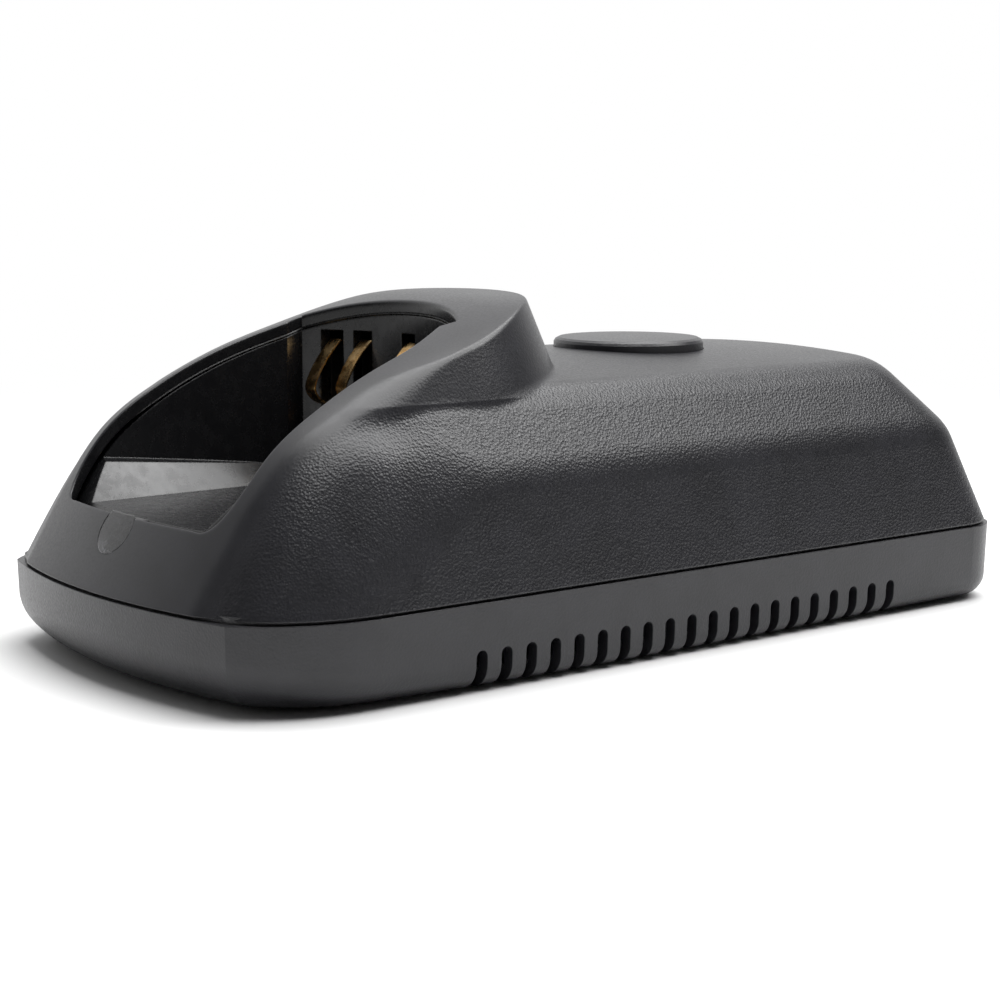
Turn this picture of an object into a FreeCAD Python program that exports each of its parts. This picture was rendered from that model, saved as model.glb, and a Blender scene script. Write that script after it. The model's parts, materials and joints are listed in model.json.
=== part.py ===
import FreeCAD, Part

# Desktop charging cradle for a portable two-way radio.
# Millimetres.  +Z is up, the radio pocket faces -Y, the power inlet is on +Y.
# The origin is under the middle of the feet, on the table.
#
# Every driving size is a row of the sheet below.  Bodies, primitives and booleans are bound to it
# by expressions; the free-form shells read the same rows through size().

import math
import os

import Sketcher

DOC = FreeCAD.newDocument("charging_cradle")
SHEET = DOC.addObject("Spreadsheet::Sheet", "Sizes")
Vector = FreeCAD.Vector

SIZES = [
    # overall
    ("half_width", 52.75),
    ("half_length", 104.0),
    ("seam_height", 17.5),
    ("seam_gap", 0.5),
    ("wall", 2.5),
    # plan outline at the seam
    ("bow_radius", 148.0),
    ("front_corner_radius", 33.0),
    ("front_corner_back", 31.0),
    ("rear_bow", 3.0),
    ("rear_corner_radius", 13.0),
    # upper housing levels: shoulder and deck edge
    ("shoulder_height", 39.6),
    ("shoulder_half_width", 48.3),
    ("shoulder_corner_back", 38.3),
    ("shoulder_rear_inset", 9.7),
    ("deck_height", 54.3),
    ("deck_half_width", 38.35),
    ("deck_corner_back", 46.0),
    ("deck_rear_inset", 23.0),
    ("deck_crown", 3.2),
    # ring round the pocket
    ("ring_radius", 39.4),
    ("ring_front_half_width", 37.6),
    ("ring_back", 64.0),
    ("ring_draft", 0.404),
    # pocket
    ("pocket_front", 8.6),
    ("pocket_half_width", 30.2),
    ("pocket_back", 76.9),
    ("pocket_back_radius", 42.3),
    ("pocket_corner_radius", 7.0),
    ("pocket_floor", 30.6),
    ("liner_wall", 2.0),
    ("liner_gap", 0.15),
    # base tub
    ("base_bottom", 0.6),
    ("base_front_round", 10.5),
    ("base_side_round", 7.0),
    ("base_rear_round", 5.0),
    ("base_draw_in", 0.5),
    ("vent_count", 20),
    ("vent_pitch", 5.9),
    ("vent_first", 53.8),
    ("vent_width", 2.6),
    ("vent_top", 8.3),
    ("vent_inner", 43.5),
    # badge
    ("badge_diameter", 33.5),
    ("badge_back", 135.7),
    ("badge_thickness", 3.0),
    ("badge_sunk", 1.0),
    # contacts
    ("contact_width", 3.6),
    ("contact_thickness", 0.4),
    ("contact_clearance", 0.4),
    # feet and screws
    ("foot_diameter", 12.0),
    ("foot_height", 1.6),
    ("foot_half_width", 29.0),
    ("foot_half_length", 80.0),
    ("boss_half_width", 40.5),
    ("boss_front", 29.0),
    ("boss_rear", 187.0),
    ("boss_radius", 3.8),
    ("boss_split", 12.0),
    ("screw_radius", 1.5),
    ("screw_head_radius", 2.8),
    ("screw_length", 17.0),
    # main board
    ("board_height", 8.0),
    ("board_thickness", 1.6),
    ("board_half_width", 35.0),
    ("board_front", 24.0),
    ("board_rear", 182.0),
    # power inlet
    ("inlet_width", 20.0),
    ("inlet_tall", 11.5),
    ("inlet_deep", 18.0),
    ("inlet_middle", 9.8),
]

for row, (alias, value) in enumerate(SIZES, start=1):
    SHEET.set("A%d" % row, alias)
    SHEET.set("B%d" % row, str(value))
    SHEET.setAlias("B%d" % row, alias)
DOC.recompute()


def size(alias):
    return float(SHEET.get(alias))


# ------------------------------------------------------------------ plan geometry
FRONT = -size("half_length")


def bow(x, radius=None):
    """Distance the front bow falls back at a given distance from the middle."""
    radius = radius or size("bow_radius")
    return radius - math.sqrt(radius * radius - x * x)


def mirrored(points):
    """The left-hand copy of right-hand points, in reverse order."""
    return [Vector(-p.x, p.y, p.z) for p in reversed(points)]


def back(distance):
    """Y of a point that lies `distance` behind the front centre of the seam."""
    return FRONT + distance


def place(shape, label):
    """A free-form sub-part; its Placement is set after its Shape."""
    item = DOC.addObject("Part::Feature", label)
    item.Label = label
    item.Shape = shape
    item.Placement = FreeCAD.Placement()
    return item


def bind(item, **expressions):
    for name, expression in expressions.items():
        item.setExpression(name.replace("__", "."), expression)


def box(name, length, width, height, x, y, z):
    """A Part::Box whose sizes and corner are expressions of the sheet."""
    item = DOC.addObject("Part::Box", name)
    item.Label = name
    bind(item, Length=length, Width=width, Height=height,
         Placement__Base__x=x, Placement__Base__y=y, Placement__Base__z=z)
    return item


def cylinder(name, radius, height, x, y, z, pitch=0, axis=Vector(1, 0, 0)):
    """A Part::Cylinder standing on +Z unless it is pitched about an axis."""
    item = DOC.addObject("Part::Cylinder", name)
    item.Label = name
    item.Placement = FreeCAD.Placement(Vector(), FreeCAD.Rotation(axis, pitch))
    bind(item, Radius=radius, Height=height,
         Placement__Base__x=x, Placement__Base__y=y, Placement__Base__z=z)
    return item


def boolean(kind, name, first, *others):
    """A Part boolean ("MultiFuse", "MultiCommon" or "Cut") of document objects."""
    if kind == "Cut":
        item = DOC.addObject("Part::Cut", name)
        item.Base = first
        item.Tool = others[0] if len(others) == 1 else boolean("MultiFuse", name + "_tools", *others)
    else:
        item = DOC.addObject("Part::" + kind, name)
        item.Shapes = [first] + list(others)
    item.Label = name
    return item


def polygon(points):
    return Part.Face(Part.makePolygon(list(points) + [points[0]]))


def line(start, end):
    return Part.LineSegment(start, end).toShape()


def arc(start, middle, end):
    return Part.Arc(start, middle, end).toShape()


def turn(centre, radius, angle, z):
    """A point on a circle, the angle measured from +X towards +Y in degrees."""
    rise = math.radians(angle)
    return Vector(centre[0] + radius * math.cos(rise), centre[1] + radius * math.sin(rise), z)


# ------------------------------------------------------------------ plan outlines
def rear_corner(half_width, rear, radius):
    """Centre of a rear corner that touches the side and the bowed rear edge, and the touching angle."""
    sweep = half_width ** 2 / (2 * size("rear_bow"))
    middle = back(rear) - sweep
    reach_x = half_width - radius
    rise = math.sqrt((sweep - radius) ** 2 - reach_x ** 2)
    angle = math.degrees(math.atan2(rise, reach_x))
    return (reach_x, middle + rise), angle


def side_and_rear(half_width, corner_back, rear, radius, z):
    """Right side, rear corners, bowed rear edge and left side of a plan outline."""
    centre, angle = rear_corner(half_width, rear, radius)
    corner_start = Vector(half_width, centre[1], z)
    corner_end = turn(centre, radius, angle, z)
    left = mirrored([corner_start, turn(centre, radius, angle / 2, z), corner_end])
    return [
        line(Vector(half_width, back(corner_back), z), corner_start),
        arc(corner_start, turn(centre, radius, angle / 2, z), corner_end),
        arc(corner_end, Vector(0, back(rear), z), left[0]),
        arc(left[0], left[1], left[2]),
        line(left[2], Vector(-half_width, back(corner_back), z)),
    ]


def crease():
    """Where the front bow meets the front corner arc: the vertical crease of the base."""
    bow_radius = size("bow_radius")
    corner_radius = size("front_corner_radius")
    corner = Vector(size("half_width") - corner_radius, size("front_corner_back"), 0)
    away = corner - Vector(0, bow_radius, 0)
    span = away.Length
    along = (bow_radius ** 2 - corner_radius ** 2 + span ** 2) / (2 * span)
    aside = math.sqrt(bow_radius ** 2 - along ** 2)
    away.normalize()
    point = Vector(0, bow_radius, 0) + away * along + Vector(-away.y, away.x, 0) * aside
    return Vector(point.x, back(point.y), 0)


def base_outline(inset, z):
    """Plan outline at the seam, pulled in by `inset`."""
    half_width = size("half_width")
    corner_radius = size("front_corner_radius")
    corner_back = size("front_corner_back")
    corner = (half_width - corner_radius, back(corner_back))
    edge = crease()
    start = math.degrees(math.atan2(edge.y - corner[1], edge.x - corner[0]))
    tip = Vector(edge.x, edge.y, z)
    side = [tip, turn(corner, corner_radius, start / 2, z), Vector(half_width, back(corner_back), z)]
    left = mirrored(side)
    edges = [arc(*side)]
    edges += side_and_rear(half_width, corner_back, 2 * size("half_length"), size("rear_corner_radius"), z)
    edges += [arc(*left), arc(left[2], Vector(0, FRONT, z), tip)]
    wire = Part.Wire(edges)
    if inset:
        wire = Part.Face(wire).makeOffset2D(-inset, 2).OuterWire
    return wire


def housing_outline(half_width, corner_back, rear, radius, inset, z):
    """Plan outline of the upper housing at one level; its front runs out past the rim."""
    front_radius = size("front_corner_radius") - inset
    past = -75
    corner = (half_width - inset - front_radius, back(corner_back))
    run_out = turn(corner, front_radius, past, z)
    side = [run_out, turn(corner, front_radius, past / 2, z), turn(corner, front_radius, 0, z)]
    left = mirrored(side)
    edges = [arc(*side)]
    edges += side_and_rear(half_width - inset, corner_back, rear - inset, radius - inset / 2, z)
    edges += [arc(*left), line(left[2], run_out)]
    return Part.Wire(edges)


# Each side wall of the pocket runs in two arcs (half width, distance back) to the tip of the tooth that
# keys the radio. A step behind the tooth leads out to the end of the rear wall.
RIGHT_SIDE = [(30.2, 18.9), (29.4, 33.0), (28.1, 47.0), (26.0, 57.6), (21.9, 66.3)]
LEFT_SIDE = [(30.2, 18.9), (29.5, 34.0), (28.4, 48.0), (27.3, 55.5), (25.9, 62.0)]
RIGHT_STEP = 23.0
LEFT_STEP = 27.5


def rear_wall(x):
    """Distance of the pocket's bowed rear wall at x."""
    radius = size("pocket_back_radius")
    return size("pocket_back") - radius + math.sqrt(radius ** 2 - x * x)


def pocket_prism(grow, low, high):
    """The radio pocket in plan, grown outwards and extruded between two heights."""
    front = size("pocket_front")
    wide = size("pocket_half_width")
    corner = size("pocket_corner_radius")
    shoulder_x = wide - corner

    def at(x, distance):
        return Vector(x, back(distance), low)

    rear = [at(RIGHT_STEP, rear_wall(RIGHT_STEP)), at(-LEFT_STEP, rear_wall(LEFT_STEP))]
    edges = [arc(rear[0], at(0, size("pocket_back")), rear[1])]
    front_ends = []
    for side, curve, rear_end in ((1, RIGHT_SIDE, rear[0]), (-1, LEFT_SIDE, rear[1])):
        front_end = at(side * shoulder_x, front + bow(shoulder_x))
        corner_middle = at(side * (wide - 0.29 * corner), front + bow(wide) + 0.29 * corner)
        flank = [at(side * half_width, distance) for half_width, distance in curve]
        edges += [
            arc(front_end, corner_middle, flank[0]),
            arc(flank[0], flank[1], flank[2]),
            arc(flank[2], flank[3], flank[4]),
            line(flank[4], rear_end),
        ]
        front_ends.append(front_end)
    edges.append(arc(front_ends[0], at(0, front), front_ends[1]))
    face = Part.Face(Part.Wire(Part.__sortEdges__(edges)))
    if grow:
        face = face.makeOffset2D(grow, 0)
    return face.extrude(Vector(0, 0, high - low))


# ------------------------------------------------------------------ free-form surfaces of the housing
# Side profile of the rim on the middle plane: distance behind the seam's front, and height.
RIM_PROFILE = [
    (-12.0, -3.0),
    (0.0, 17.5),
    (5.0, 26.0),
    (10.1, 34.2),
    (16.6, 42.5),
    (27.5, 51.1),
    (44.0, 59.0),
    (62.0, 64.6),
    (80.0, 69.2),
    (96.0, 71.2),
    (112.0, 71.4),
]
ABOVE_ALL = 90.0
RIM_REACH = 46.0
RIM_LIFT = 0.8
RIM_DROP = 2.36
RIM_DROP_REACH = 38.0


def ease(value, start, end):
    """0 before start, 1 after end, smooth between them."""
    share = min(1.0, max(0.0, (value - start) / (end - start)))
    return share * share * (3 - 2 * share)


def rim_swell(x, distance):
    """How far the rim stands above its side profile: raised at the pocket, drooping outwards."""
    lift = RIM_LIFT * ease(distance, 6, 20) * (1 - ease(distance, 78, 96))
    droop = RIM_DROP * min(1.0, max(0.0, distance / 30)) * (x / RIM_DROP_REACH) ** 4
    return lift - droop


def rim_space(inset):
    """Everything above the rim: its side profile carried along the front bow, lower at the sides."""
    slope_back = 0.857 * inset
    drop = 0.966 * inset
    rows = []
    stations = 12
    for step in range(stations + 1):
        x = RIM_REACH * (2 * step / stations - 1)
        row = []
        for distance, height in RIM_PROFILE:
            level = height + rim_swell(x, distance) - drop
            row.append(Vector(x, back(distance + bow(x)) + slope_back, level))
        rows.append(row)
    surface = Part.BSplineSurface()
    surface.interpolate(rows)
    return surface.toShape().extrude(Vector(0, 0, ABOVE_ALL))


def deck_space(inset):
    """Everything above the deck: crowned across, and falling slightly towards the rear."""
    half = size("deck_half_width")
    rows = []
    stations = 8
    for step in range(stations + 1):
        x = 1.5 * half * (2 * step / stations - 1)
        row = []
        for distance in range(30, 241, 35):
            swell = 1 - 0.45 * max(0, (distance - 120) / 60) ** 2
            height = size("deck_height") + size("deck_crown") * swell * (1 - (x / half) ** 2)
            row.append(Vector(x, back(distance), height - inset))
        rows.append(row)
    surface = Part.BSplineSurface()
    surface.interpolate(rows)
    return surface.toShape().extrude(Vector(0, 0, ABOVE_ALL))


def housing_levels(inset, bottom):
    """Plan outlines of the drafted housing block from the seam to above the deck."""
    half_length = size("half_length")
    seam = (size("seam_height"), size("half_width"), size("front_corner_back"),
            2 * half_length, size("rear_corner_radius"))
    shoulder = (size("shoulder_height"), size("shoulder_half_width"), size("shoulder_corner_back"),
                2 * half_length - size("shoulder_rear_inset"), size("rear_corner_radius") - 0.8)
    deck = (size("deck_height"), size("deck_half_width"), size("deck_corner_back"),
            2 * half_length - size("deck_rear_inset"), size("rear_corner_radius") - 1.6)

    def blend(first, second, height):
        share = (height - first[0]) / (second[0] - first[0])
        return [a + share * (b - a) for a, b in zip(first, second)]

    levels = [blend(seam, shoulder, bottom), shoulder, blend(shoulder, deck, size("deck_height") + 7)]
    return [housing_outline(level[1], level[2], level[3], level[4], inset, level[0]) for level in levels]


def housing_solid(inset, bottom):
    """Outer solid of the upper housing, pulled in by `inset` all round."""
    block = Part.makeLoft(housing_levels(inset, bottom), True, True)
    block = block.cut(deck_space(inset))
    draft = size("ring_draft")
    rings = []
    for height in (size("deck_height") - 2 - inset, 78.0):
        shrink = inset + draft * (height - size("deck_height"))
        reach = size("ring_radius") - shrink
        middle = (0, back(size("ring_back")))
        right = Vector(reach, middle[1], height)
        front_right = Vector(size("ring_front_half_width") - shrink, back(28), height)
        front_left, left = mirrored([right, front_right])
        rings.append(Part.Wire([
            arc(right, turn(middle, reach, 90, height), left),
            line(left, front_left),
            line(front_left, front_right),
            line(front_right, right),
        ]))
    ring = Part.makeLoft(rings, True, True)
    return block.fuse(ring).cut(rim_space(inset))


# ------------------------------------------------------------------ housing, base tub and liner
def boss_places():
    return [(side * size("boss_half_width"), back(depth))
            for side in (-1, 1) for depth in (size("boss_front"), size("boss_rear"))]


def upright(radius, x, y, low, high):
    return Part.makeCylinder(radius, high - low, Vector(x, y, low))


LENS_BACK = 6.9
LENS_HEIGHT = 29.1
LENS_RADIUS = 5.4
FRONT_NORMAL = Vector(0, -0.857, 0.515)


def lens_plug(radius, depth):
    """A short round bar through the sloping front, square to its surface."""
    face_point = Vector(0, back(LENS_BACK), LENS_HEIGHT)
    return Part.makeCylinder(radius, depth + 4, face_point + FRONT_NORMAL * 4, FRONT_NORMAL * -1)


# Each contact: its name, its middle line, and how far back the pocket's rear wall is there.
CONTACTS = [(name, x, rear_wall(x)) for name, x in (
    ("left_contact_spring", -21.9),
    ("middle_contact_spring", -15.2),
    ("centre_contact_spring", -2.5),
)]
SLOT_LOW = 41.2
SLOT_HIGH = 62.4


def contact_slots():
    """One tall slot for each contact through the pocket's rear wall."""
    half = size("contact_width") / 2 + size("contact_clearance")
    return [Part.makeBox(2 * half, 12, SLOT_HIGH - SLOT_LOW, Vector(x - half, back(wall_back) - 4, SLOT_LOW))
            for name, x, wall_back in CONTACTS]


def make_upper_housing(outer, cavity):
    seam = size("seam_height")
    shell = outer.cut(cavity)
    pillars = [upright(size("boss_radius"), x, y, size("boss_split") + 0.1, 60) for x, y in boss_places()]
    skirt = housing_solid(0, size("boss_split"))
    for pillar in pillars:
        shell = shell.fuse(pillar.common(skirt))
    rabbet = Part.Face(base_outline(1.35, seam)).extrude(Vector(0, 0, 1.4))
    rabbet = rabbet.cut(Part.Face(base_outline(2.8, seam)).extrude(Vector(0, 0, 1.4)))
    tools = [rabbet, pocket_prism(0, size("pocket_floor"), 90), lens_plug(LENS_RADIUS + 0.1, 8)]
    tools += contact_slots()
    tools += [upright(size("screw_radius") - 0.25, x, y, 10, 26) for x, y in boss_places()]
    badge_floor = size("deck_height") + size("deck_crown") - size("badge_sunk")
    tools.append(upright(size("badge_diameter") / 2 + 0.15, 0, back(size("badge_back")), badge_floor, 70))
    for tool in tools:
        shell = shell.cut(tool)
    return place(largest(shell), "upper_housing")


def largest(shape):
    return max(shape.Solids, key=lambda solid: solid.Volume)


def tub_solid(name, inset, low, high):
    """Base tub block, drawn in towards the table; its bottom edge is rounded most at the front."""
    block = DOC.addObject("Part::Feature", name + "_block")
    block.Shape = Part.makeLoft([base_outline(inset + size("base_draw_in"), low), base_outline(inset, high)],
                                True, True)

    def rounding(point):
        front_round = size("base_front_round") - inset
        side_round = size("base_side_round") - inset
        rear_round = size("base_rear_round") - inset
        if point.y < back(size("front_corner_back")) - 1:
            return front_round
        return side_round if point.y < 0 else rear_round

    rounded = DOC.addObject("Part::Fillet", name)
    rounded.Base = block
    floor_edges = []
    for number, edge in enumerate(block.Shape.Edges, start=1):
        ends = [vertex.Point for vertex in edge.Vertexes]
        if all(abs(point.z - low) < 0.01 for point in ends):
            floor_edges.append((number, rounding(ends[0]), rounding(ends[-1])))
    rounded.Edges = floor_edges
    DOC.recompute()
    return rounded.Shape


def vent_tools():
    """Round-topped slots low on both sides, wrapping round the bottom edge."""
    radius = size("vent_width") / 2
    inner = size("vent_inner")
    reach = size("half_width") + 2 - inner
    centre = size("vent_top") - radius
    tools = []
    for index in range(int(size("vent_count"))):
        y = back(size("vent_first") + index * size("vent_pitch"))
        slot = Part.makeBox(reach, 2 * radius, centre + 2, Vector(inner, y - radius, -2))
        crown = Part.makeCylinder(radius, reach, Vector(inner, y, centre), Vector(1, 0, 0))
        right = slot.fuse(crown)
        tools += [right, right.mirror(Vector(), Vector(1, 0, 0))]
    return tools


def board_post_places():
    inset = 5.0
    wide = size("board_half_width") - inset
    return [(side * wide, back(depth)) for side in (-1, 1)
            for depth in (size("board_front") + 12, size("board_rear") - inset)]


def make_base_tub():
    low = size("base_bottom")
    seam = size("seam_height") - size("seam_gap") / 2
    wall = size("wall")
    split = size("boss_split")
    shell = tub_solid("tub_outside", 0, low, seam)
    shell = shell.cut(tub_solid("tub_inside", wall, low + wall, seam + 1))
    tongue = Part.Face(base_outline(1.5, seam - 2)).extrude(Vector(0, 0, 3.3))
    tongue = tongue.cut(Part.Face(base_outline(wall + 0.1, seam - 2)).extrude(Vector(0, 0, 3.3)))
    shell = shell.fuse(tongue)
    for x, y in boss_places():
        shell = shell.fuse(upright(size("boss_radius"), x, y, low + 0.5, split))
    for x, y in board_post_places():
        shell = shell.fuse(upright(3, x, y, low + 0.5, size("board_height")))
    tools = vent_tools()
    for x, y in boss_places():
        tools.append(upright(size("screw_head_radius") + 0.2, x, y, low - 1, low + 4))
        tools.append(upright(size("screw_radius") + 0.2, x, y, low, split + 1))
    for x, y in board_post_places():
        tools.append(upright(0.95, x, y, low + 2, size("board_height") + 1))
    for x, y in foot_places():
        tools.append(upright(size("foot_diameter") / 2 + 0.1, x, y, low - 1, foot_seat()))
    plate_x, plate_y, plate_deep = RATING_PLATE
    tools.append(Part.makeBox(plate_x + 0.3, plate_y + 0.3, plate_deep + 1,
                              Vector(-plate_x / 2 - 0.15, -plate_y / 2 - 0.15, low - 1)))
    half = size("inlet_width") / 2 + 0.1
    tall = size("inlet_tall") / 2 + 0.1
    tools.append(Part.makeBox(2 * half, 20, 2 * tall,
                              Vector(-half, -FRONT - 8, size("inlet_middle") - tall)))
    for tool in tools:
        shell = shell.cut(tool)
    return place(largest(shell), "base_tub")


RATING_PLATE = (46.0, 30.0, 0.5)


def foot_places():
    return [(side * size("foot_half_width"), end * size("foot_half_length"))
            for side in (-1, 1) for end in (-1, 1)]


def foot_seat():
    return size("foot_height")


# Sloping ledge along each side of the pocket floor: where it ends and how high it stands there,
# and its reach across from the middle.
LEDGE_FRONT = (11.0, 39.1)
LEDGE_REAR = (74.0, 33.4)
LEDGE_OUTER = 30.4
LEDGE_INNER = 22.0


def make_pocket_liner(cavity):
    floor = size("pocket_floor")
    thick = size("liner_wall")
    bottom = floor - thick
    hollow = pocket_prism(0, floor, 90)
    shell = pocket_prism(thick, bottom, 90).common(cavity).cut(hollow)
    ledges = []
    for side in (-1, 1):
        ends = []
        for distance, height in (LEDGE_FRONT, LEDGE_REAR):
            section = [
                (LEDGE_OUTER, floor - 1),
                (LEDGE_OUTER, height),
                (LEDGE_OUTER - 3.4, height - 0.6),
                (LEDGE_INNER, floor - 0.2),
                (LEDGE_INNER, floor - 1),
            ]
            corners = [Vector(side * x, back(distance), z) for x, z in section]
            ends.append(Part.makePolygon(corners + [corners[0]]))
        ledges.append(Part.makeLoft(ends, True, True))
    inside = pocket_prism(0.5, bottom, 90).common(cavity)
    for ledge in ledges:
        shell = shell.fuse(ledge.common(inside))
    for slot in contact_slots():
        shell = shell.cut(slot)
    return place(largest(shell), "pocket_liner")


# ------------------------------------------------------------------ contacts
# Side view of one contact leaf: distance behind the pocket's rear wall, and height.
LEAF = [
    (3.6, 42.4),
    (3.2, 44.6),
    (-0.6, 46.4),
    (-4.2, 47.9),
    (-5.6, 50.2),
    (-4.8, 52.8),
    (-2.7, 56.2),
    (-0.4, 58.9),
    (1.1, 60.4),
]
LEAF_ROLL = 0.9


def make_contact_springs():
    springs = []
    thick = size("contact_thickness")
    width = size("contact_width")
    for name, x, wall_back in CONTACTS:
        path = Part.BSplineCurve()
        path.interpolate([Vector(x, back(wall_back + distance), height) for distance, height in LEAF])
        count = 24
        outer_side = []
        inner_side = []
        for step in range(count + 1):
            at = path.FirstParameter + (path.LastParameter - path.FirstParameter) * step / count
            point = path.value(at)
            along = path.tangent(at)[0]
            normal = Vector(0, -along.z, along.y) * (thick / 2)
            outer_side.append(point + normal)
            inner_side.append(point - normal)
        skins = []
        for points in (outer_side, inner_side):
            skin = Part.BSplineCurve()
            skin.interpolate(points)
            skins.append(skin.toShape())
        ends = [line(outer_side[0], inner_side[0]), line(outer_side[-1], inner_side[-1])]
        strip = Part.Face(Part.Wire(Part.__sortEdges__(skins + ends)))
        leaf = strip.extrude(Vector(width, 0, 0))
        leaf.translate(Vector(-width / 2, 0, 0))
        foot_distance, foot_height = LEAF[0]
        roll_end = Vector(x - width / 2, back(wall_back + foot_distance), foot_height)
        roll = Part.makeCylinder(LEAF_ROLL, width, roll_end, Vector(1, 0, 0))
        springs.append(place(leaf.fuse(roll).removeSplitter(), name))
    return springs


CONTACT_BLOCK = (-26.5, 1.6, 83.6, 40.0, 59.0)


def make_contact_block(cavity):
    """Moulded block behind the pocket wall, one open cell for each contact."""
    left, right, rear, low, high = CONTACT_BLOCK
    block = Part.makeBox(right - left, 30, high - low, Vector(left, back(rear) - 30, low))
    block = block.cut(pocket_prism(size("liner_wall") + size("liner_gap"), low - 1, high + 1))
    block = block.common(cavity)
    for name, x, wall_back in CONTACTS:
        half = size("contact_width") / 2 + size("contact_clearance")
        cell = Part.makeBox(2 * half, 6.4, 30, Vector(x - half, back(wall_back) - 1, low + 1.2))
        block = block.cut(cell)
    return place(largest(block), "contact_block")


# ------------------------------------------------------------------ build the shells
seam_top = size("seam_height") + size("seam_gap") / 2
OUTER = housing_solid(0, seam_top)
CAVITY = housing_solid(size("wall"), size("seam_height") - 4)
LINER_SPACE = housing_solid(size("wall") + size("liner_gap"), size("seam_height") - 4)

upper_housing = make_upper_housing(OUTER, CAVITY)
base_tub = make_base_tub()
pocket_liner = make_pocket_liner(LINER_SPACE)
contact_springs = make_contact_springs()
contact_block = make_contact_block(LINER_SPACE)


# ------------------------------------------------------------------ sketched bodies
def expression_of(value):
    return value if isinstance(value, str) else repr(float(value))


def sketch_loop(body, role, corners, name):
    """A closed sketch on an origin plane; every corner is held by two dimensions bound to the sheet."""
    plane = [item for item in body.Origin.OriginFeatures if item.Role == role][0]
    sketch = body.newObject("Sketcher::SketchObject", name)
    sketch.AttachmentSupport = [(plane, "")]
    sketch.MapMode = "FlatFace"
    values = []
    for across, up in corners:
        values.append((evaluate(across), evaluate(up)))
    total = len(corners)
    for index in range(total):
        start = values[index]
        end = values[(index + 1) % total]
        sketch.addGeometry(Part.LineSegment(Vector(*start, 0), Vector(*end, 0)), False)
    Constraint = Sketcher.Constraint
    for index in range(total):
        sketch.addConstraint(Constraint("Coincident", index, 2, (index + 1) % total, 1))
    for index, (across, up) in enumerate(corners):
        held = (("DistanceX", across, values[index][0]), ("DistanceY", up, values[index][1]))
        for kind, text, value in held:
            number = sketch.addConstraint(Constraint(kind, -1, 1, index, 1, value))
            if isinstance(text, str):
                sketch.setExpression("Constraints[%d]" % number, text)
    return sketch


def evaluate(value):
    """The number behind an expression of the sheet."""
    if not isinstance(value, str):
        return float(value)
    return float(SHEET.evalExpression(value))


def new_body(name):
    body = DOC.addObject("PartDesign::Body", name)
    body.Label = name
    return body


def turned_body(name, profile, x, y, z):
    """A body turned about its own upright axis from a half profile of (radius, height)."""
    body = new_body(name)
    sketch = sketch_loop(body, "XZ_Plane", profile, name + "_profile")
    DOC.recompute()
    turned = body.newObject("PartDesign::Revolution", name + "_turned")
    turned.Profile = sketch
    turned.ReferenceAxis = (sketch, ["V_Axis"])
    turned.Angle = 360
    bind(body, Placement__Base__x=x, Placement__Base__y=y, Placement__Base__z=z)
    return body


def padded_body(name, corners, thickness, x, y, z):
    """A flat body padded up from an outline in plan."""
    body = new_body(name)
    sketch = sketch_loop(body, "XY_Plane", corners, name + "_outline")
    DOC.recompute()
    pad = body.newObject("PartDesign::Pad", name + "_pad")
    pad.Profile = sketch
    pad.setExpression("Length", thickness)
    bind(body, Placement__Base__x=x, Placement__Base__y=y, Placement__Base__z=z)
    return body


front = "(-Sizes.half_length)"
board_top = "Sizes.board_height + Sizes.board_thickness"

# Badge: a blank disc with a rounded rim, its foot sunk in the deck.
badge_disc = turned_body(
    "badge_disc",
    [
        (0, 0),
        ("Sizes.badge_diameter / 2", 0),
        ("Sizes.badge_diameter / 2", "Sizes.badge_thickness - 1.1"),
        ("Sizes.badge_diameter / 2 - 0.4", "Sizes.badge_thickness - 0.5"),
        ("Sizes.badge_diameter / 2 - 1.2", "Sizes.badge_thickness - 0.1"),
        ("Sizes.badge_diameter / 4", "Sizes.badge_thickness + 0.05"),
        (0, "Sizes.badge_thickness + 0.1"),
    ],
    "0 mm", front + " + Sizes.badge_back", "Sizes.deck_height + Sizes.deck_crown - Sizes.badge_sunk")

# Main circuit board with a nose that reaches the status lamp under the front lip.
board_blank = padded_body(
    "board_blank",
    [
        ("-Sizes.board_half_width", "Sizes.board_front"),
        (-9, "Sizes.board_front"),
        (-9, "Sizes.board_front - 10"),
        (9, "Sizes.board_front - 10"),
        (9, "Sizes.board_front"),
        ("Sizes.board_half_width", "Sizes.board_front"),
        ("Sizes.board_half_width", "Sizes.board_rear"),
        ("-Sizes.board_half_width", "Sizes.board_rear"),
    ],
    "Sizes.board_thickness", "0 mm", front, "Sizes.board_height")

board_holes = []
for index, (hole_x, hole_y) in enumerate(board_post_places()):
    board_holes.append(cylinder("board_hole_%d" % index, "1.2 mm", "Sizes.board_thickness + 2",
                                "%g mm" % hole_x, "%g mm" % hole_y, "Sizes.board_height - 1"))
main_circuit_board = boolean("Cut", "main_circuit_board", board_blank, *board_holes)

# Bulk capacitor: a can with a rolled groove near its foot.
bulk_capacitor = turned_body(
    "bulk_capacitor",
    [(0, 0), (7.6, 0), (8, 0.4), (8, 2.6), (7.4, 3.1), (7.4, 3.7), (8, 4.2), (8, 27.4), (7.4, 28), (0, 28)],
    "-20 mm", front + " + 164", board_top)

# Status lamp: a domed light-emitting diode under the foot of the light guide.
status_lamp = turned_body(
    "status_lamp",
    [(0, 0), (1.9, 0), (1.9, 0.8), (1.5, 0.8), (1.5, 2.2), (1.2, 2.8), (0.7, 3.2), (0, 3.4)],
    "0 mm", front + " + 20", board_top)

DOC.recompute()


# ------------------------------------------------------------------ light guide
# Side view of the light pipe from the lens down to the status lamp: distance back and height.
LIGHT_PIPE = [
    (6.2, 24.6),
    (9.4, 28.3),
    (13.5, 28.3),
    (22.5, 18.5),
    (22.5, 13.4),
    (17.5, 13.4),
    (9.8, 21.4),
]


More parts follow.
